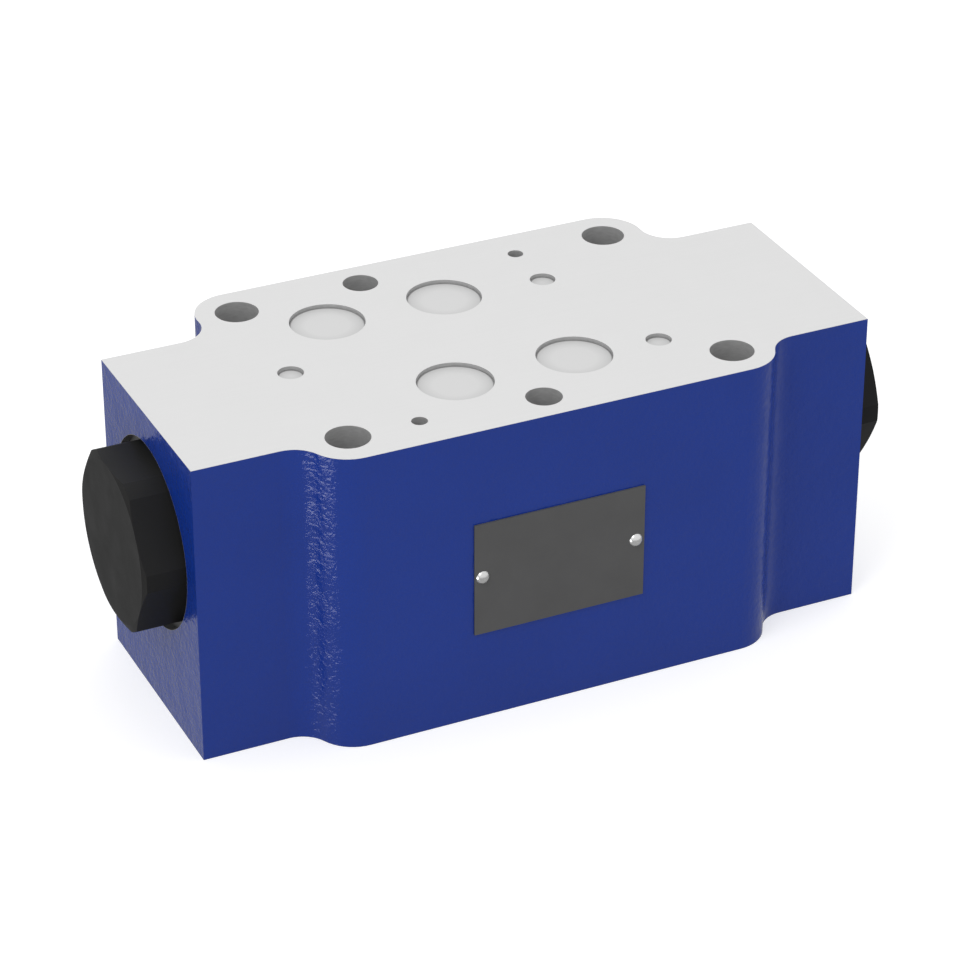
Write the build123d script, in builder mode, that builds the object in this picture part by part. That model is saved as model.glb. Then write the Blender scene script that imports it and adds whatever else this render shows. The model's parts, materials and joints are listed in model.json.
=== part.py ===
from build123d import *
import os
from math import cos, pi, sin, sqrt

# Hydraulic lock valve: a double pilot-operated check valve built as a sandwich plate, size 16.
# Millimetres. The origin is the middle of the four large bolt holes on the lower mounting face.
# +X runs along the core bore, -Y is the side with the nameplate, +Z is up.
# Stations along the core bore are distances from the valve's middle plane, outwards on each side.

os.makedirs("parts", exist_ok=True)

# Hole pattern of both mounting faces: the pins sit in the lower one, the next valve's enter the upper one
bolt_spacing_x = 101.6
bolt_spacing_y = 69.9
bolt_hole_d = 11.0
small_bolt_d = 9.0
small_bolt_y = 36.55
locating_hole_d = 4.0
locating_hole_depth = 10.0
pin_hole_d = 3.0
pin_hole_depth = 8.0
port_p_x = -0.8
port_t_x = -32.5
port_a_x = -16.7
port_b_x = 15.1
main_port_y = 20.65
port_x_x = 25.8
port_x_y = 19.05
port_y_x = 37.3
port_y_y = -22.25
port_l_x = -50.8
port_l_y = 0.0
main_port_d = 19.0
control_port_d = 6.5

# Casting
plate_height = 80.0
body_length = 179.0
end_width = 60.0
lobe_wall = 5.0
lobe_fillet = 8.0
spot_face_d = 48.0
spot_face_depth = 2.3

# Core bore: where its axis lies and how its stations follow each other
core_x = -0.3
core_y = -4.45
core_z = 47.5
spool_d = 20.0
spool_guide_half = 8.0
inner_chamber_length = 16.0
inner_chamber_d = 26.0
seat_bush_length = 9.0
outer_chamber_length = 14.0
outer_chamber_d = 40.0
poppet_d = 30.0
thread_d = 33.0
thread_length = 17.2

# Cored passages
mouth_depth = 10.0
gallery_d = 12.0
gallery_foot_z = 7.0
gallery_landing = 9.5
feed_d = 14.0
feed_foot_drop = 4.0
bypass_half_height = 11.0
passage_wall = 4.0
passage_overlap = 2.0
cut_margin = 1.0

# Poppet, its ball and the springs
seat_d = 18.0
bush_chamfer = 1.0
nose_length = 0.8
neck_d = 23.0
nose_hole_d = 5.6
nose_wall = 4.8
pilot_ball_d = 9.0
ball_bore_d = 10.4
ball_bore_length = 17.0
relief_hole_d = 2.4
relief_hole_count = 4
relief_hole_step = 0.4
relief_hole_turn = 45
skirt_bore_d = 21.2
skirt_start = 10.0
poppet_lift = 5.0
ball_lift = 1.5
spool_free_travel = 1.0
retainer_thickness = 3.0
retainer_boss_length = 3.0
retainer_hole_d = 3.2
main_wire_d = 2.3
main_spring_turns = 6.5
pilot_wire_d = 0.8
pilot_spring_turns = 5.5
wire_runs_per_turn = 16
wire_sides = 8

# Control spool
spool_land_overrun = 1.5
spool_stem_d = 8.0
spool_tip_d = 4.6
balance_groove_width = 0.8
balance_groove_depth = 0.5
balance_groove_spacing = 4.5
edge_chamfer = 0.5

# Screw plug
plug_across_flats = 41.0
plug_corner_d = 44.9
plug_face_d = 41.0
plug_face_chamfer = 0.6
plug_head_proud = 10.0
plug_nose_length = 3.9
spring_pocket_d = 21.2
spring_pocket_depth = 15.0
plug_seal_wire_d = 2.56
plug_seal_play = 0.15

# Seals of the lower mounting face, shown squeezed flush as they are when bolted down
main_recess_d = 27.8
main_recess_depth = 2.0
main_seal_width = 2.9
control_recess_d = 14.2
control_recess_depth = 1.5
control_seal_width = 2.1
seal_rounding = 0.28

# Protective closures pushed into the upper ports
closure_sink = 1.0
closure_wall = 1.2
main_closure_length = 4.5
control_closure_length = 4.0

# Nameplate
nameplate_width = 45.5
nameplate_height = 30.6
nameplate_thickness = 0.5
nameplate_x = -0.6
nameplate_z = 39.5
rivet_inset = 2.2
rivet_z = 40.0
rivet_shank_d = 2.5
rivet_head_d = 3.5
rivet_head_height = 1.0
rivet_depth = 5.5

# Clearances, on the radius for round fits
running_clearance = 0.03
seated_clearance = 0.02
thread_clearance = 0.05
push_clearance = 0.05
seal_clearance = 0.05
stop_clearance = 0.1
spring_clearance = 0.4

# Stations of the core bore
inner_chamber_end = spool_guide_half + inner_chamber_length
bush_end = inner_chamber_end + seat_bush_length
outer_chamber_end = bush_end + outer_chamber_length
body_half = body_length / 2
head_seat = body_half - spot_face_depth
thread_start = head_seat - thread_length
head_front = body_half + plug_head_proud
plug_nose_end = thread_start - plug_nose_length

# Stations of the poppet at rest, when it sits on the edge of the bush's bore
nose_front = bush_end - nose_length + seated_clearance
nose_hole_end = nose_front + nose_wall
ball_centre = nose_hole_end + sqrt(pilot_ball_d**2 - nose_hole_d**2) / 2 + seated_clearance
retainer_seat = nose_hole_end + ball_bore_length
retainer_face = retainer_seat + retainer_thickness
skirt_end = plug_nose_end - poppet_lift - stop_clearance
ball_tip = ball_centre - pilot_ball_d / 2

# Stations of the springs
pilot_mean_d = ball_bore_d - 2 * spring_clearance - pilot_wire_d
main_mean_d = skirt_bore_d - 2 * spring_clearance - main_wire_d
pilot_inner_r = (pilot_mean_d - pilot_wire_d) / 2
pilot_spring_start = ball_centre + sqrt((pilot_ball_d / 2) ** 2 - pilot_inner_r**2) + seated_clearance
pocket_end = plug_nose_end + spring_pocket_depth

# The core axis, and the two sides of the valve
core = (core_x, core_y, core_z)
core_axis = Axis(core, (1, 0, 0))
sides = {"left": -1, "right": 1}
main_ports = {
    "p": (port_p_x, main_port_y),
    "t": (port_t_x, main_port_y),
    "a": (port_a_x, -main_port_y),
    "b": (port_b_x, -main_port_y),
}
control_ports = {
    "x": (port_x_x, port_x_y),
    "y": (port_y_x, port_y_y),
    "l": (port_l_x, port_l_y),
}
small_bolts = [(port_a_x, small_bolt_y), (port_p_x, -small_bolt_y)]
locating_holes = [(port_x_x, bolt_spacing_y / 2), (port_t_x, -bolt_spacing_y / 2)]
rivet_spacing = nameplate_width - 2 * rivet_inset
rivet_at = {side: (nameplate_x + sides[side] * rivet_spacing / 2, rivet_z) for side in sides}
lobe_r = bolt_hole_d / 2 + lobe_wall
near_face_y = -bolt_spacing_y / 2 - lobe_r
plate_front_y = near_face_y - nameplate_thickness
plug_shank_r = thread_d / 2 - thread_clearance
seal_recess_r = plug_shank_r + plug_seal_wire_d + 2 * plug_seal_play
seal_recess_end = head_seat + plug_seal_wire_d


def radial_plane(side):
    """Half-section plane of one side: x is the station, y is the radius."""
    return Plane(origin=core, x_dir=(side, 0, 0), z_dir=(0, -side, 0))


def cross_plane(side, station):
    """Plane square to the core axis at a station, facing outwards."""
    return Plane(origin=(core_x + side * station, core_y, core_z), x_dir=(0, 1, 0), z_dir=(side, 0, 0))


def turned_profile(points):
    """Closed half section of a turned shape, from its corners as (station, radius)."""
    with BuildSketch() as section:
        with BuildLine():
            Polyline(*points, close=True)
        make_face()
    return section.sketch


def channel(points, diameter):
    """Round passage along straight runs that meet in mitred bends."""
    with BuildPart() as bored:
        with BuildLine() as route:
            Polyline(*points)
        with BuildSketch(Plane(origin=route.line @ 0, z_dir=route.line % 0)):
            Circle(diameter / 2)
        sweep(transition=Transition.RIGHT)
    return bored.part


def spring(side, start, end, mean_d, wire_d, turns):
    """Compression spring between two stations, its wire laid in short straight runs."""
    rise = end - start - wire_d
    runs = round(turns * wire_runs_per_turn)
    points = []
    for step in range(runs + 1):
        angle = 2 * pi * turns * step / runs
        station = start + wire_d / 2 + rise * step / runs
        points.append((mean_d / 2 * cos(angle), mean_d / 2 * sin(angle), station))
    middle = cross_plane(side, 0)
    with BuildPart() as coil:
        with BuildLine() as wire:
            Polyline(*[middle.from_local_coords(point) for point in points])
        with BuildSketch(Plane(origin=wire.line @ 0, z_dir=wire.line % 0)):
            RegularPolygon(wire_d / 2, wire_sides)
        sweep(transition=Transition.RIGHT)
    return coil.part


# Core bore of the valve body, one half as a turned profile
core_profile = [
    (0, 0),
    (0, spool_d / 2),
    (spool_guide_half, spool_d / 2),
    (spool_guide_half, inner_chamber_d / 2),
    (inner_chamber_end, inner_chamber_d / 2),
    (inner_chamber_end, poppet_d / 2),
    (bush_end, poppet_d / 2),
    (bush_end, outer_chamber_d / 2),
    (outer_chamber_end, outer_chamber_d / 2),
    (outer_chamber_end, poppet_d / 2),
    (thread_start, poppet_d / 2),
    (thread_start, thread_d / 2),
    (head_seat, thread_d / 2),
    (head_seat, spot_face_d / 2),
    (body_half + cut_margin, spot_face_d / 2),
    (body_half + cut_margin, 0),
]

# Where T, L and Y run past the core bore
bend_low = core_z - bypass_half_height
bend_high = core_z + bypass_half_height
t_bypass_y = core_y + outer_chamber_d / 2 + passage_wall + main_port_d / 2
l_bypass_y = core_y + poppet_d / 2 + passage_wall + control_port_d / 2
y_bypass_y = core_y - outer_chamber_d / 2 - passage_wall - control_port_d / 2


def bypass(at, bypass_y, diameter):
    """Passage from face to face that swings round the core bore."""
    x, y = at
    route = [
        (x, y, -cut_margin),
        (x, y, mouth_depth),
        (x, bypass_y, bend_low),
        (x, bypass_y, bend_high),
        (x, y, plate_height - mouth_depth),
        (x, y, plate_height + cut_margin),
    ]
    return channel(route, diameter)


def lower_gallery(at, side):
    """Slanting passage from the mouth of a lower port up into the outer chamber."""
    x, y = at
    chamber_x = core_x + side * (bush_end + gallery_landing)
    chamber_floor_z = core_z - outer_chamber_d / 2
    route = [
        (x, y, gallery_foot_z),
        (chamber_x, core_y, chamber_floor_z + passage_overlap),
    ]
    return channel(route, gallery_d)


def upper_feed(at, side):
    """Slanting passage from the mouth of an upper port into the inner chamber."""
    x, y = at
    top = Vector(x, y, plate_height - mouth_depth + passage_overlap)
    chamber_x = core_x + side * (spool_guide_half + inner_chamber_length / 2)
    chamber_wall_y = core_y - inner_chamber_d / 2
    foot = Vector(chamber_x, chamber_wall_y + passage_overlap, core_z - feed_foot_drop)
    with BuildPart() as bored:
        with BuildSketch(Plane(origin=top, z_dir=foot - top)):
            Circle(feed_d / 2)
        extrude(amount=(foot - top).length)
    return bored.part


def lobe_corner(x_side, y_side):
    """Where one bolt lobe starts, meets its fillet and runs out on the long edge of the end part."""
    lobe_x, lobe_y = x_side * bolt_spacing_x / 2, y_side * bolt_spacing_y / 2
    edge_y = core_y + y_side * end_width / 2
    rise = edge_y + y_side * lobe_fillet - lobe_y
    run = sqrt((lobe_r + lobe_fillet) ** 2 - rise**2)
    share = lobe_r / (lobe_r + lobe_fillet)
    crown = (lobe_x, lobe_y + y_side * lobe_r)
    meeting = (lobe_x + x_side * run * share, lobe_y + rise * share)
    foot = (lobe_x + x_side * run, edge_y)
    end = (core_x + x_side * body_half, edge_y)
    return crown, meeting, foot, end


# Valve body
with BuildPart() as valve_body:
    with BuildSketch():
        with BuildLine():
            for x_side in (-1, 1):
                for y_side in (-1, 1):
                    crown, meeting, foot, end = lobe_corner(x_side, y_side)
                    turn = x_side * y_side
                    RadiusArc(crown, meeting, turn * lobe_r)
                    RadiusArc(meeting, foot, -turn * lobe_fillet)
                    Line(foot, end)
                Line(lobe_corner(x_side, -1)[3], lobe_corner(x_side, 1)[3])
            for y_side in (-1, 1):
                Line(lobe_corner(-1, y_side)[0], lobe_corner(1, y_side)[0])
        make_face()
    extrude(amount=plate_height)
    for side in sides.values():
        with BuildSketch(radial_plane(side)):
            add(turned_profile(core_profile))
        revolve(axis=core_axis, mode=Mode.SUBTRACT)
    with Locations((0, 0, plate_height)):
        with GridLocations(bolt_spacing_x, bolt_spacing_y, 2, 2):
            Hole(bolt_hole_d / 2)
        with Locations(*small_bolts):
            Hole(small_bolt_d / 2)
        with Locations(main_ports["p"]):
            Hole(main_port_d / 2)
        with Locations(control_ports["x"]):
            Hole(control_port_d / 2)
        with Locations(main_ports["a"], main_ports["b"]):
            Hole(main_port_d / 2, depth=mouth_depth)
        with Locations(*locating_holes):
            Hole(locating_hole_d / 2, depth=locating_hole_depth)
    add(bypass(main_ports["t"], t_bypass_y, main_port_d), mode=Mode.SUBTRACT)
    add(bypass(control_ports["l"], l_bypass_y, control_port_d), mode=Mode.SUBTRACT)
    add(bypass(control_ports["y"], y_bypass_y, control_port_d), mode=Mode.SUBTRACT)
    for port, side in (("a", -1), ("b", 1)):
        add(lower_gallery(main_ports[port], side), mode=Mode.SUBTRACT)
        add(upper_feed(main_ports[port], side), mode=Mode.SUBTRACT)
    with BuildSketch(Plane.XY):
        with Locations(*main_ports.values()):
            Circle(main_recess_d / 2)
    extrude(amount=main_recess_depth, mode=Mode.SUBTRACT)
    with BuildSketch(Plane.XY):
        with Locations(*control_ports.values()):
            Circle(control_recess_d / 2)
    extrude(amount=control_recess_depth, mode=Mode.SUBTRACT)
    with BuildSketch(Plane.XY):
        with Locations(main_ports["a"], main_ports["b"]):
            Circle(main_port_d / 2)
    extrude(amount=mouth_depth, mode=Mode.SUBTRACT)
    with BuildSketch(Plane.XY):
        with Locations(*locating_holes):
            Circle(pin_hole_d / 2)
    extrude(amount=pin_hole_depth, mode=Mode.SUBTRACT)
    with BuildSketch(Plane.XZ.offset(-near_face_y)):
        with Locations(*rivet_at.values()):
            Circle(rivet_shank_d / 2 + push_clearance)
    extrude(amount=-rivet_depth, mode=Mode.SUBTRACT)
valve_body.part.label = "valve_body"
export_step(valve_body.part, "parts/valve_body.step")


# Control spool, free in the middle of the core bore, with a stem and a thinner tip towards each poppet
land_half = spool_guide_half + spool_land_overrun
land_r = spool_d / 2 - running_clearance
tip_end = ball_tip - spool_free_travel
tip_start = nose_front - ball_lift - spool_free_travel
with BuildPart() as control_spool:
    for side in sides.values():
        spool_profile = [
            (0, 0),
            (0, land_r),
            (land_half - edge_chamfer, land_r),
            (land_half, land_r - edge_chamfer),
            (land_half, spool_stem_d / 2),
            (tip_start, spool_stem_d / 2),
            (tip_start, spool_tip_d / 2),
            (tip_end - edge_chamfer, spool_tip_d / 2),
            (tip_end, spool_tip_d / 2 - edge_chamfer),
            (tip_end, 0),
        ]
        with BuildSketch(radial_plane(side)):
            add(turned_profile(spool_profile))
        revolve(axis=core_axis)
    for step in (-1, 0, 1):
        with BuildSketch(cross_plane(1, step * balance_groove_spacing - balance_groove_width / 2)):
            Circle(land_r)
            Circle(land_r - balance_groove_depth, mode=Mode.SUBTRACT)
        extrude(amount=balance_groove_width, mode=Mode.SUBTRACT)
control_spool.part.label = "control_spool"
export_step(control_spool.part, "parts/control_spool.step")

for name, side in sides.items():
    # Seat bush, pressed in from the end: the poppet closes on the outer edge of its bore
    with BuildPart() as seat_bush:
        bush_profile = [
            (inner_chamber_end, seat_d / 2 + bush_chamfer),
            (inner_chamber_end, poppet_d / 2 - seated_clearance - bush_chamfer),
            (inner_chamber_end + bush_chamfer, poppet_d / 2 - seated_clearance),
            (bush_end, poppet_d / 2 - seated_clearance),
            (bush_end, seat_d / 2),
            (inner_chamber_end + bush_chamfer, seat_d / 2),
        ]
        with BuildSketch(radial_plane(side)):
            add(turned_profile(bush_profile))
        revolve(axis=core_axis)
    seat_bush.part.label = f"{name}_seat_bush"
    export_step(seat_bush.part, f"parts/{name}_seat_bush.step")

    # Main poppet: a cone on a neck, guided by its skirt, with the pilot ball's seat in its nose
    skirt_r = poppet_d / 2 - running_clearance
    cone_end = nose_front + (neck_d - seat_d) / 2 + nose_length
    with BuildPart() as main_poppet:
        poppet_profile = [
            (nose_front, nose_hole_d / 2),
            (nose_front, seat_d / 2 - nose_length),
            (cone_end, neck_d / 2),
            (nose_front + skirt_start - (skirt_r - neck_d / 2), neck_d / 2),
            (nose_front + skirt_start, skirt_r),
            (skirt_end, skirt_r),
            (skirt_end, skirt_bore_d / 2),
            (retainer_seat, skirt_bore_d / 2),
            (retainer_seat, ball_bore_d / 2),
            (nose_hole_end, ball_bore_d / 2),
            (nose_hole_end, nose_hole_d / 2),
        ]
        with BuildSketch(radial_plane(side)):
            add(turned_profile(poppet_profile))
        revolve(axis=core_axis)
        relief_station = nose_hole_end + relief_hole_d / 2 + relief_hole_step
        with Locations(cross_plane(side, relief_station)):
            with PolarLocations(0, relief_hole_count, start_angle=relief_hole_turn):
                Cylinder(
                    relief_hole_d / 2,
                    poppet_d / 2,
                    rotation=(0, 90, 0),
                    align=(Align.CENTER, Align.CENTER, Align.MIN),
                    mode=Mode.SUBTRACT,
                )
    main_poppet.part.label = f"{name}_main_poppet"
    export_step(main_poppet.part, f"parts/{name}_main_poppet.step")

    # Pilot ball on the edge of the nose hole
    with BuildPart(cross_plane(side, ball_centre)) as pilot_ball:
        Sphere(pilot_ball_d / 2)
    pilot_ball.part.label = f"{name}_pilot_ball"
    export_step(pilot_ball.part, f"parts/{name}_pilot_ball.step")

    # Spring retainer: a drilled disc on the poppet's inner step, with a boss inside the main spring
    boss_r = main_mean_d / 2 - main_wire_d / 2 - spring_clearance
    with BuildPart() as spring_retainer:
        retainer_profile = [
            (retainer_seat, retainer_hole_d / 2),
            (retainer_seat, skirt_bore_d / 2 - push_clearance),
            (retainer_face, skirt_bore_d / 2 - push_clearance),
            (retainer_face, boss_r),
            (retainer_face + retainer_boss_length, boss_r - edge_chamfer),
            (retainer_face + retainer_boss_length, retainer_hole_d / 2),
        ]
        with BuildSketch(radial_plane(side)):
            add(turned_profile(retainer_profile))
        revolve(axis=core_axis)
    spring_retainer.part.label = f"{name}_spring_retainer"
    export_step(spring_retainer.part, f"parts/{name}_spring_retainer.step")

    # Pilot spring between the ball and the retainer, main spring between the retainer and the plug
    pilot_spring = spring(
        side, pilot_spring_start, retainer_seat, pilot_mean_d, pilot_wire_d, pilot_spring_turns
    )
    pilot_spring.label = f"{name}_pilot_spring"
    export_step(pilot_spring, f"parts/{name}_pilot_spring.step")
    main_spring = spring(
        side, retainer_face, pocket_end, main_mean_d, main_wire_d, main_spring_turns
    )
    main_spring.label = f"{name}_main_spring"
    export_step(main_spring, f"parts/{name}_main_spring.step")

    # Screw plug: hexagon head with turned corners and a seal recess, shank and a nose that stops the poppet
    with BuildPart() as screw_plug:
        with BuildSketch(cross_plane(side, head_seat)):
            RegularPolygon(plug_across_flats / 2, 6, major_radius=False)
        extrude(amount=head_front - head_seat)
        head_profile = [
            (seal_recess_end, 0),
            (seal_recess_end, seal_recess_r),
            (head_seat, seal_recess_r),
            (head_seat, plug_corner_d / 2),
            (head_front - plug_face_chamfer, plug_corner_d / 2),
            (head_front, plug_face_d / 2),
            (head_front, 0),
        ]
        with BuildSketch(radial_plane(side)):
            add(turned_profile(head_profile))
        revolve(axis=core_axis, mode=Mode.INTERSECT)
        shank_profile = [
            (plug_nose_end, spring_pocket_d / 2),
            (plug_nose_end, poppet_d / 2 - seated_clearance),
            (thread_start, poppet_d / 2 - seated_clearance),
            (thread_start, plug_shank_r),
            (seal_recess_end, plug_shank_r),
            (seal_recess_end, 0),
            (pocket_end, 0),
            (pocket_end, spring_pocket_d / 2),
        ]
        with BuildSketch(radial_plane(side)):
            add(turned_profile(shank_profile))
        revolve(axis=core_axis)
    screw_plug.part.label = f"{name}_screw_plug"
    export_step(screw_plug.part, f"parts/{name}_screw_plug.step")

    # Plug seal: an O-ring round the shank, in the recess under the head
    seal_middle_r = (plug_shank_r + seal_recess_r) / 2
    with BuildPart() as plug_seal:
        with BuildSketch(radial_plane(side)):
            with Locations((head_seat + plug_seal_wire_d / 2, seal_middle_r)):
                RegularPolygon(plug_seal_wire_d / 2 - seated_clearance, wire_sides)
        revolve(axis=core_axis)
    plug_seal.part.label = f"{name}_plug_seal"
    export_step(plug_seal.part, f"parts/{name}_plug_seal.step")

    # Nameplate rivet: domed head on the plate, shank in the casting
    rivet_x, rivet_height = rivet_at[name]
    head_r = rivet_head_d / 2
    shank_r = rivet_shank_d / 2
    shank_length = rivet_depth - push_clearance + nameplate_thickness
    crown = (0, -rivet_head_height)
    with BuildPart() as rivet:
        with BuildSketch(Plane(origin=(rivet_x, plate_front_y, rivet_height))):
            with BuildLine():
                Line(crown, (0, shank_length))
                Polyline((0, shank_length), (shank_r, shank_length), (shank_r, 0), (head_r, 0))
                TangentArc(crown, (head_r, 0), tangent=(1, 0))
            make_face()
        revolve(axis=Axis((rivet_x, 0, rivet_height), (0, 1, 0)))
    rivet.part.label = f"{name}_nameplate_rivet"
    export_step(rivet.part, f"parts/{name}_nameplate_rivet.step")

# Nameplate, a thin blank sheet
with BuildPart() as nameplate:
    with BuildSketch(Plane.XZ.offset(-near_face_y)):
        with Locations((nameplate_x, nameplate_z)):
            Rectangle(nameplate_width, nameplate_height)
        with Locations(*rivet_at.values()):
            Circle(rivet_shank_d / 2 + push_clearance, mode=Mode.SUBTRACT)
    extrude(amount=nameplate_thickness)
nameplate.part.label = "nameplate"
export_step(nameplate.part, "parts/nameplate.step")


def port_seal(at, recess_d, recess_depth, width):
    """O-ring squeezed flush into its recess."""
    x, y = at
    outer_r = recess_d / 2 - seal_clearance
    height = recess_depth - seal_clearance
    with BuildPart() as ring:
        with BuildSketch(Plane(origin=(x, y, 0), x_dir=(1, 0, 0), z_dir=(0, -1, 0))) as section:
            with Locations((outer_r - width / 2, recess_depth - height / 2)):
                Rectangle(width, height)
            chamfer(section.vertices(), length=height * seal_rounding)
        revolve(axis=Axis((x, y, 0), (0, 0, 1)))
    return ring.part


def port_closure(at, port_d, length):
    """Push-in cap with a flat top below the face and a thin skirt."""
    x, y = at
    top = plate_height - closure_sink
    with BuildPart() as cap:
        with BuildSketch(Plane.XY.offset(top - length)):
            with Locations((x, y)):
                Circle(port_d / 2 - push_clearance)
        extrude(amount=length)
        with BuildSketch(Plane.XY.offset(top - length)):
            with Locations((x, y)):
                Circle(port_d / 2 - push_clearance - closure_wall)
        extrude(amount=length - closure_wall, mode=Mode.SUBTRACT)
    return cap.part


# Seals and closures of the seven ports
port_sizes = [
    (main_ports, main_port_d, main_recess_d, main_recess_depth, main_seal_width, main_closure_length),
    (
        control_ports,
        control_port_d,
        control_recess_d,
        control_recess_depth,
        control_seal_width,
        control_closure_length,
    ),
]
for ports, port_d, recess_d, recess_depth, seal_width, closure_length in port_sizes:
    for port, at in ports.items():
        seal = port_seal(at, recess_d, recess_depth, seal_width)
        seal.label = f"port_seal_{port}"
        export_step(seal, f"parts/port_seal_{port}.step")
        closure = port_closure(at, port_d, closure_length)
        closure.label = f"port_closure_{port}"
        export_step(closure, f"parts/port_closure_{port}.step")
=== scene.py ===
import json
from math import cos, pi, sin

import bpy
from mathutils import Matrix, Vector

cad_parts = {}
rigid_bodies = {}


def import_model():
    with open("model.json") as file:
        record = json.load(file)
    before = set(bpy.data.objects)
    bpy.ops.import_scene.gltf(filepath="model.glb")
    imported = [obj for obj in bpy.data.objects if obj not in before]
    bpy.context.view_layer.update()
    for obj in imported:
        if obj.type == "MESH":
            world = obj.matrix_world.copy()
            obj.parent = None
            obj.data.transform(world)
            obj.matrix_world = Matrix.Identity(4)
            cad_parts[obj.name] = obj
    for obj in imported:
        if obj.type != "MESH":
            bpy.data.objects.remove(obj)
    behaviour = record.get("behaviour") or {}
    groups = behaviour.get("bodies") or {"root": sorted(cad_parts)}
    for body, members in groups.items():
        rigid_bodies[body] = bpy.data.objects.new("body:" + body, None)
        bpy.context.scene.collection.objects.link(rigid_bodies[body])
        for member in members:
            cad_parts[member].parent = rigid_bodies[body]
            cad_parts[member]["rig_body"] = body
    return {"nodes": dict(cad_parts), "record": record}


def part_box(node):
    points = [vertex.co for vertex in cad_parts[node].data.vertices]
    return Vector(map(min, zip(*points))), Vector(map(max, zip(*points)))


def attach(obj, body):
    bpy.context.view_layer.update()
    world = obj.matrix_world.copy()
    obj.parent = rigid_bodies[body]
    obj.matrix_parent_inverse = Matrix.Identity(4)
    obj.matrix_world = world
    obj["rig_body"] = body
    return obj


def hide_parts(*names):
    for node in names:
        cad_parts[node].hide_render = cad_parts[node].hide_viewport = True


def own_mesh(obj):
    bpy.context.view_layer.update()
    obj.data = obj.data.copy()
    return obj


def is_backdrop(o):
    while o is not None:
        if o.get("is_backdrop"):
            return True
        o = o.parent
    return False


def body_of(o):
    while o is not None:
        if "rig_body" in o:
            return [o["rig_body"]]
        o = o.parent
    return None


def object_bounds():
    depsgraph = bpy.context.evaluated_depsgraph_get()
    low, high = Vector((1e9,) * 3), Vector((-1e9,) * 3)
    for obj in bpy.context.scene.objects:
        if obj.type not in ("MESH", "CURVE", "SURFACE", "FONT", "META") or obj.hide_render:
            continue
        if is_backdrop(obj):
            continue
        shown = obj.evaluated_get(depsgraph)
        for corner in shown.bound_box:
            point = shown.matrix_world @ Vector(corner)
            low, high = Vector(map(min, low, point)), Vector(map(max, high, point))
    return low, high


# Hydraulic lock valve. Metres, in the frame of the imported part.
# The origin is the middle of the four large bolt holes on the lower mounting face.
# +X runs along the core bore, -Y is the side with the nameplate, +Z is up.

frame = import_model()
nodes = frame["nodes"]
record = frame["record"]
cad_low, cad_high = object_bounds()
MM = 0.001

# Places read from the frame
body_low, body_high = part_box("valve_body")
half_height = (body_high.z - body_low.z) / 2
mid_height = (body_high.z + body_low.z) / 2
plug_low, plug_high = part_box("left_screw_plug")
core_y = (plug_low.y + plug_high.y) / 2
core_z = (plug_low.z + plug_high.z) / 2
bolts = next(mount["dims"] for mount in record["mounts"] if mount["name"] == "bolt_holes")
bolt_x = bolts["spacing_x_mm"] * MM / 2
bolt_y = bolts["spacing_y_mm"] * MM / 2

# Where the casting is cut bare, as distances from its axes, and how much of it shines as metal there
skin = 0.05 * MM
spot_face_r = 24.1 * MM
spot_face_x = 80 * MM
bolt_land_r = 8 * MM
middle_half_y = 43 * MM
waist_half_x = 60 * MM
waist_half_y = 30 * MM
bare_metal_share = 0.2

# Relief of the paint: soft lumps under fine flecks, each as its size and depth
paint_lump = 7 * MM
paint_lump_depth = 0.3 * MM
paint_fleck = 1.3 * MM
paint_fleck_depth = 0.17 * MM

# How far in from its edge a port closure gets painted shade, and how wide its painted dark rim is
closure_shade = 4 * MM
closure_shadow_rim = 0.5 * MM


# Node helpers
def node(tree, kind, inputs=None, **settings):
    """A shader node with its settings made and its inputs given as values or as other nodes' outputs."""
    made = tree.nodes.new(kind)
    for name, value in settings.items():
        setattr(made, name, value)
    for socket, value in (inputs or {}).items():
        if isinstance(value, bpy.types.NodeSocket):
            tree.links.new(value, made.inputs[socket])
        else:
            made.inputs[socket].default_value = value
    return made


def place_of(tree):
    """A point's place on its own piece, in the frame of the part."""
    return node(tree, "ShaderNodeTexCoord").outputs["Object"]


def maths(tree, operation, first, second=0.0):
    return node(tree, "ShaderNodeMath", {0: first, 1: second}, operation=operation).outputs[0]


def scaled(tree, place, factors):
    return node(tree, "ShaderNodeVectorMath", {0: place, 1: factors}, operation="MULTIPLY").outputs[0]


def distance(tree, place, point):
    inputs = {0: place, 1: point}
    return node(tree, "ShaderNodeVectorMath", inputs, operation="DISTANCE").outputs["Value"]


def both(tree, first, second):
    return maths(tree, "MULTIPLY", first, second)


def either(tree, *masks):
    joined = masks[0]
    for mask in masks[1:]:
        joined = maths(tree, "MAXIMUM", joined, mask)
    return joined


def noise(tree, place, size, detail=3.0, roughness=0.55, stretch=(1, 1, 1)):
    """Noise from 0 to 1 with lumps about size across, longer along an axis with a small stretch."""
    inputs = {"Scale": 1 / size, "Detail": detail, "Roughness": roughness}
    inputs["Vector"] = scaled(tree, place, stretch)
    return node(tree, "ShaderNodeTexNoise", inputs).outputs["Fac"]


def spread(tree, value, low, high, start=0.3, end=0.7):
    """value, which mostly runs from start to end, spread from low to high."""
    inputs = {"Value": value, "From Min": start, "From Max": end, "To Min": low, "To Max": high}
    return node(tree, "ShaderNodeMapRange", inputs, clamp=True).outputs["Result"]


def blend_colour(tree, share, first, second):
    inputs = {"Factor": share, 6: first, 7: second}
    return node(tree, "ShaderNodeMix", inputs, data_type="RGBA").outputs[2]


def blend_value(tree, share, first, second):
    return node(tree, "ShaderNodeMix", {0: share, 2: first, 3: second}, data_type="FLOAT").outputs[0]


def blend_normal(tree, share, first, second):
    return node(tree, "ShaderNodeMix", {0: share, 4: first, 5: second}, data_type="VECTOR").outputs[1]


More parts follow.
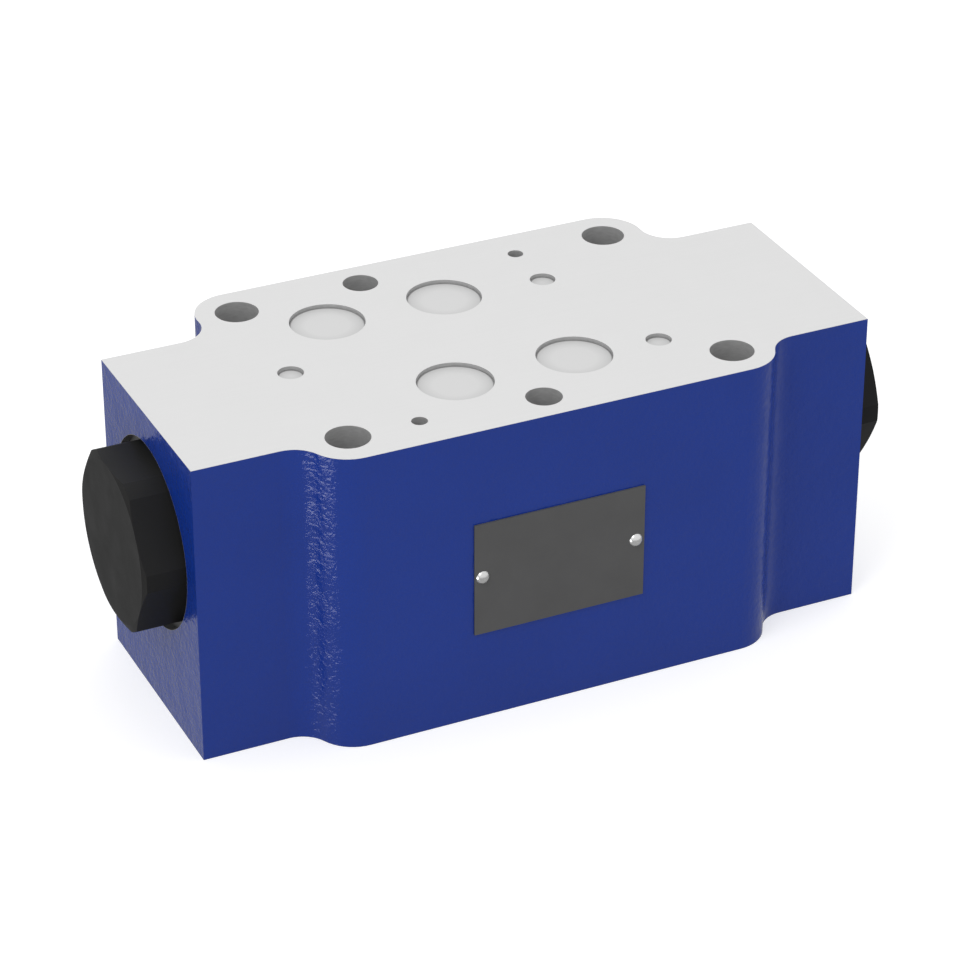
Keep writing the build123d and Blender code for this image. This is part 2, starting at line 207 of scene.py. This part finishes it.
def bump(tree, height, depth, below=None):
    """A bump whose height of 0 to 1 stands for depth metres, on top of another bump."""
    inputs = {"Height": height, "Distance": depth, "Strength": 1.0}
    if below is not None:
        inputs["Normal"] = below
    return node(tree, "ShaderNodeBump", inputs).outputs["Normal"]


def grey(level):
    return (level, level, level, 1.0)


def blue(share):
    """The casting's paint, at a share of its full brightness."""
    return (0.005 * share, 0.0395 * share, 0.322 * share, 1.0)


def new_material(name, ior_level=0.5, metallic=0.0):
    """A named material with its node tree and its main shader."""
    material = bpy.data.materials.new(name)
    material.use_nodes = True
    tree = material.node_tree
    shader = tree.nodes["Principled BSDF"]
    shader.inputs["Specular IOR Level"].default_value = ior_level
    shader.inputs["Metallic"].default_value = metallic
    return material, tree, shader


def finish_with(tree, shader, colour, roughness, normal):
    tree.links.new(colour, shader.inputs["Base Color"])
    tree.links.new(roughness, shader.inputs["Roughness"])
    tree.links.new(normal, shader.inputs["Normal"])


# Materials
def machined_mask(tree, place):
    """Masks of the casting: all that is cut bare, its two mounting faces, and its spot faces, the last for
    painted shade.
    """
    split = node(tree, "ShaderNodeSeparateXYZ", {0: place})
    x = maths(tree, "ABSOLUTE", split.outputs["X"])
    y = maths(tree, "ABSOLUTE", split.outputs["Y"])
    height = maths(tree, "ABSOLUTE", maths(tree, "SUBTRACT", split.outputs["Z"], mid_height))
    faces = maths(tree, "GREATER_THAN", height, half_height - skin)
    section = scaled(tree, place, (0, 1, 1))
    core = maths(tree, "LESS_THAN", distance(tree, section, (0, core_y, core_z)), spot_face_r)
    folded = node(tree, "ShaderNodeCombineXYZ", {"X": x, "Y": y}).outputs[0]
    bolt = maths(tree, "LESS_THAN", distance(tree, folded, (bolt_x, bolt_y, 0)), bolt_land_r)
    middle = both(tree, maths(tree, "LESS_THAN", x, bolt_x), maths(tree, "LESS_THAN", y, middle_half_y))
    waist = both(tree, maths(tree, "LESS_THAN", x, waist_half_x), maths(tree, "LESS_THAN", y, waist_half_y))
    spot_shade = both(tree, core, maths(tree, "GREATER_THAN", x, spot_face_x))
    return either(tree, faces, core, bolt, middle, waist), faces, spot_shade


def painted_casting():
    """Blue paint over a cast skin, with ground mounting faces and bored holes left bare."""
    material, tree, shader = new_material("painted_casting", ior_level=0.43)
    place = place_of(tree)
    bare, faces, spot_shade = machined_mask(tree, place)

    # Paint over sand-cast iron: soft lumps under flecks about a millimetre long
    lumps = noise(tree, place, paint_lump, detail=2)
    flecks = noise(tree, place, paint_fleck, detail=2)
    tint = noise(tree, place, 30 * MM, detail=4)
    paint = blend_colour(tree, spread(tree, tint, 0, 1), blue(0.92), blue(1.0))
    paint_rough = spread(tree, flecks, 0.17, 0.23)
    paint_normal = bump(tree, lumps, paint_lump_depth)
    paint_normal = bump(tree, flecks, paint_fleck_depth, paint_normal)

    # Ground faces: fine straight lines along the plate
    lines = noise(tree, place, 0.35 * MM, detail=2, stretch=(0.02, 1, 1))
    cloud = noise(tree, place, 14 * MM, detail=3)
    ground = blend_colour(tree, spread(tree, cloud, 0, 1), grey(0.742), grey(0.75))
    ground = blend_colour(tree, spread(tree, lines, 0, 0.12), ground, grey(0.712))
    ground_rough = spread(tree, lines, 0.40, 0.48)
    ground_normal = bump(tree, lines, 0.003 * MM)

    # Bores and holes: duller, with tool marks round them, and painted shade darkening the spot faces round
    # the plugs
    marks = noise(tree, place, 0.5 * MM, detail=1, stretch=(0.3, 0.3, 1))
    bored = blend_colour(tree, spread(tree, marks, 0, 1), grey(0.43), grey(0.49))
    # Painted shade: the spot faces round the plug heads darkened as if the plugs shade them
    bored = blend_colour(tree, spot_shade, bored, grey(0.23))
    bored_normal = bump(tree, marks, 0.02 * MM)

    metal = blend_colour(tree, faces, bored, ground)
    metal_rough = blend_value(tree, faces, spread(tree, marks, 0.45, 0.55), ground_rough)
    metal_normal = blend_normal(tree, faces, bored_normal, ground_normal)
    colour = blend_colour(tree, bare, paint, metal)
    rough = blend_value(tree, bare, paint_rough, metal_rough)
    normal = blend_normal(tree, bare, paint_normal, metal_normal)
    tree.links.new(both(tree, bare, bare_metal_share), shader.inputs["Metallic"])
    finish_with(tree, shader, colour, rough, normal)
    return material


def turned_metal(name, low, high, smooth, dull):
    """Metal turned or ground round the core axis, with fine rings along it."""
    material, tree, shader = new_material(name, metallic=1.0)
    place = place_of(tree)
    rings = noise(tree, place, 0.4 * MM, detail=2, stretch=(1, 0.08, 0.08))
    cloud = noise(tree, place, 6 * MM, detail=3)
    colour = blend_colour(tree, spread(tree, cloud, 0, 1), low, high)
    finish_with(tree, shader, colour, spread(tree, rings, smooth, dull), bump(tree, rings, 0.008 * MM))
    return material


def blackened_steel():
    """Blackened plug heads: near black, with a soft uneven sheen."""
    material, tree, shader = new_material("blackened_steel", ior_level=0.08)
    place = place_of(tree)
    cloud = noise(tree, place, 7 * MM, detail=4)
    grain = noise(tree, place, 0.45 * MM, detail=3)
    colour = blend_colour(tree, spread(tree, cloud, 0, 1), grey(0.0185), grey(0.0205))
    finish_with(tree, shader, colour, spread(tree, cloud, 0.42, 0.52), bump(tree, grain, 0.01 * MM))
    return material


def nameplate_sheet():
    """Dark grey sheet with a fine lengthwise brush."""
    material, tree, shader = new_material("nameplate_sheet", ior_level=0.4)
    place = place_of(tree)
    brush = noise(tree, place, 0.3 * MM, detail=2, stretch=(0.03, 1, 1))
    cloud = noise(tree, place, 10 * MM, detail=3)
    colour = blend_colour(tree, spread(tree, cloud, 0, 1), grey(0.093), grey(0.103))
    finish_with(tree, shader, colour, spread(tree, brush, 0.42, 0.52), bump(tree, brush, 0.004 * MM))
    return material


def closure_plastic(radius):
    """Light grey push-in closure of a port, with painted shade darkening it towards its edge and a painted
    dark rim where it meets the bore.
    """
    material, tree, shader = new_material("closure_plastic", ior_level=0.4)
    place = place_of(tree)
    grain = noise(tree, place, 0.6 * MM, detail=3)
    generated = node(tree, "ShaderNodeTexCoord").outputs["Generated"]
    across = scaled(tree, generated, (1, 1, 0))
    from_axis = maths(tree, "MULTIPLY", distance(tree, across, (0.5, 0.5, 0)), 2 * radius)
    # Painted shade: darker towards the closure's edge, and a painted dark rim for the shade in the gap at
    # the bore
    shade = spread(tree, from_axis, 0, 1, radius - closure_shade, radius)
    shadow_rim = spread(tree, from_axis, 0, 1, radius - closure_shadow_rim, radius - closure_shadow_rim / 2)
    colour = blend_colour(tree, shade, grey(0.69), grey(0.575))
    colour = blend_colour(tree, shadow_rim, colour, grey(0.25))
    finish_with(tree, shader, colour, spread(tree, grain, 0.42, 0.52), bump(tree, grain, 0.006 * MM))
    return material


def seal_rubber():
    """Matt black rubber with a fine moulded grain."""
    material, tree, shader = new_material("seal_rubber", ior_level=0.4)
    place = place_of(tree)
    grain = noise(tree, place, 0.4 * MM, detail=3)
    cloud = noise(tree, place, 5 * MM, detail=3)
    colour = blend_colour(tree, spread(tree, cloud, 0, 1), grey(0.014), grey(0.022))
    finish_with(tree, shader, colour, spread(tree, grain, 0.5, 0.62), bump(tree, grain, 0.01 * MM))
    return material


materials = {
    "painted_casting": painted_casting(),
    "hardened_steel": turned_metal("hardened_steel", grey(0.55), grey(0.64), 0.18, 0.30),
    "spring_wire": turned_metal("spring_wire", grey(0.36), grey(0.44), 0.26, 0.38),
    "blackened_steel": blackened_steel(),
    "nameplate_sheet": nameplate_sheet(),
    "rivet_metal": turned_metal("rivet_metal", grey(0.64), grey(0.72), 0.22, 0.3),
    "seal_rubber": seal_rubber(),
}
closures = {}
for part in record["subparts"]:
    mesh = nodes[part["node"]].data
    mesh.materials.clear()
    if part["material_slot"] == "closure_plastic":
        low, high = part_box(part["node"])
        radius = round((high.x - low.x) / 2, 5)
        if radius not in closures:
            closures[radius] = closure_plastic(radius)
        mesh.materials.append(closures[radius])
    else:
        mesh.materials.append(materials[part["material_slot"]])


# Springs: smooth round wire in place of the solids' short straight runs
wire_facets = 12
wire_rows_per_turn = 32
main_wire_r = 1.15 * MM
main_coil_r = 9.0 * MM
main_turns = 6.5
pilot_wire_r = 0.4 * MM
pilot_coil_r = 4.4 * MM
pilot_turns = 5.5


def coil_mesh(name, start, rise, turns, coil_r, wire_r, side):
    """Mesh of a round wire wound about the core axis, from start over a rise along X."""
    rows = round(turns * wire_rows_per_turn)
    corners = []
    for row in range(rows + 1):
        angle = 2 * pi * turns * row / rows
        radial = Vector((0, cos(angle), side * sin(angle)))
        along = Vector((rise / (2 * pi * turns), -coil_r * sin(angle), side * coil_r * cos(angle)))
        across = radial.cross(along).normalized()
        centre = Vector((start + rise * row / rows, core_y, core_z)) + coil_r * radial
        for facet in range(wire_facets):
            turn = 2 * pi * facet / wire_facets
            corners.append(centre + wire_r * (cos(turn) * radial + sin(turn) * across))
    last = rows * wire_facets
    faces = [tuple(range(wire_facets)), tuple(reversed(range(last, last + wire_facets)))]
    for row in range(rows):
        for facet in range(wire_facets):
            here = row * wire_facets + facet
            beside = row * wire_facets + (facet + 1) % wire_facets
            faces.append((here, here + wire_facets, beside + wire_facets, beside))
    mesh = bpy.data.meshes.new(name)
    mesh.from_pydata(corners, [], faces)
    for face in mesh.polygons[2:]:
        face.use_smooth = True
    return mesh


def wound_spring(name, side, wire_r, coil_r, turns):
    """A round-wire spring in the place of its CAD node, on the same body as that node."""
    low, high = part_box(name)
    inner, outer = (low.x, high.x) if side > 0 else (high.x, low.x)
    rise = outer - inner - 2 * side * wire_r
    mesh = coil_mesh(f"{name}_wire", inner + side * wire_r, rise, turns, coil_r, wire_r, side)
    mesh.materials.append(materials["spring_wire"])
    spring = bpy.data.objects.new(f"{name}_wire", mesh)
    bpy.context.scene.collection.objects.link(spring)
    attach(spring, body_of(nodes[name])[0])
    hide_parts(name)
    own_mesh(spring)


for side, hand in ((-1, "left"), (1, "right")):
    main_name, pilot_name = f"{hand}_main_spring", f"{hand}_pilot_spring"
    wound_spring(main_name, side, main_wire_r, main_coil_r, main_turns)
    wound_spring(pilot_name, side, pilot_wire_r, pilot_coil_r, pilot_turns)


# Floor, light and camera
floor_half = 4.0
floor_shade = 0.7
floor_lift = 0.54
world_light = 0.66
world_low_shade = 0.5
object_middle = (0, 0, 0.04)
camera_place = (-0.33527, -0.71681, 0.49470)
camera_direction = (0.36643, 0.78466, -0.50005)
camera_lens = 136.3
camera_sensor = 36


def seen_rays(tree):
    """1 for rays from the camera and for rays that metal and gloss send on."""
    path = node(tree, "ShaderNodeLightPath")
    kinds = ("Is Camera Ray", "Is Glossy Ray", "Is Transmission Ray")
    return either(tree, *[path.outputs[kind] for kind in kinds])


def plain_floor():
    """A pale floor, white to the camera but for the object's shadow, that reflections don't show."""
    mesh = bpy.data.meshes.new("floor")
    far = floor_half
    corners = [(-far, -far, 0), (far, -far, 0), (far, far, 0), (-far, far, 0)]
    mesh.from_pydata(corners, [], [(0, 1, 2, 3)])
    floor = bpy.data.objects.new("floor", mesh)
    bpy.context.scene.collection.objects.link(floor)
    floor.location.z = cad_low.z - skin
    floor.visible_glossy = False
    material, tree, shader = new_material("floor", ior_level=0.0)
    shader.inputs["Base Color"].default_value = grey(floor_shade)
    shader.inputs["Roughness"].default_value = 1.0
    lift = both(tree, seen_rays(tree), floor_lift)
    shader.inputs["Emission Color"].default_value = grey(1.0)
    tree.links.new(lift, shader.inputs["Emission Strength"])
    mesh.materials.append(material)
    floor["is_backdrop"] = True


def white_world():
    """Even light from all round, white above the horizon and pale grey below it, full only where seen."""
    world = bpy.data.worlds.new("studio")
    world.use_nodes = True
    bpy.context.scene.world = world
    tree = world.node_tree
    strength = blend_value(tree, seen_rays(tree), world_light, 1.0)
    outward = node(tree, "ShaderNodeTexCoord").outputs["Generated"]
    rise = node(tree, "ShaderNodeSeparateXYZ", {0: outward}).outputs["Z"]
    above = spread(tree, rise, 0, 1, -0.1, 0.1)
    colour = blend_colour(tree, above, grey(world_low_shade), grey(1.0))
    background = tree.nodes["Background"]
    tree.links.new(colour, background.inputs["Color"])
    tree.links.new(strength, background.inputs["Strength"])


def soft_lamp(name, place, width, height, watts):
    """An oblong area lamp that faces the middle of the object."""
    lamp = bpy.data.lights.new(name, "AREA")
    lamp.shape = "RECTANGLE"
    lamp.size = width
    lamp.size_y = height
    lamp.energy = watts
    holder = bpy.data.objects.new(name, lamp)
    bpy.context.scene.collection.objects.link(holder)
    holder.location = place
    holder.rotation_euler = (Vector(object_middle) - Vector(place)).to_track_quat("-Z", "Y").to_euler()
    return holder


plain_floor()
white_world()
soft_lamp("key", (-0.7, -0.4, 1.1), 0.6, 0.6, 4.0)
soft_lamp("top", (0.3, 0.2, 1.4), 0.9, 0.9, 3.0)

# A low lamp that only gloss picks up, on the fillet beside the left end
side_lamp = soft_lamp("side", (-1.9, -0.40, -0.45), 1.2, 0.7, 14.0)
side_lamp.visible_diffuse = False

camera = bpy.data.objects.new("camera", bpy.data.cameras.new("camera"))
bpy.context.scene.collection.objects.link(camera)
camera.location = camera_place
camera.rotation_euler = Vector(camera_direction).to_track_quat("-Z", "Y").to_euler()
camera.data.lens = camera_lens
camera.data.sensor_width = camera_sensor
camera.data.clip_start = 0.01
bpy.context.scene.camera = camera
bpy.context.scene.view_settings.view_transform = "Standard"

low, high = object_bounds()
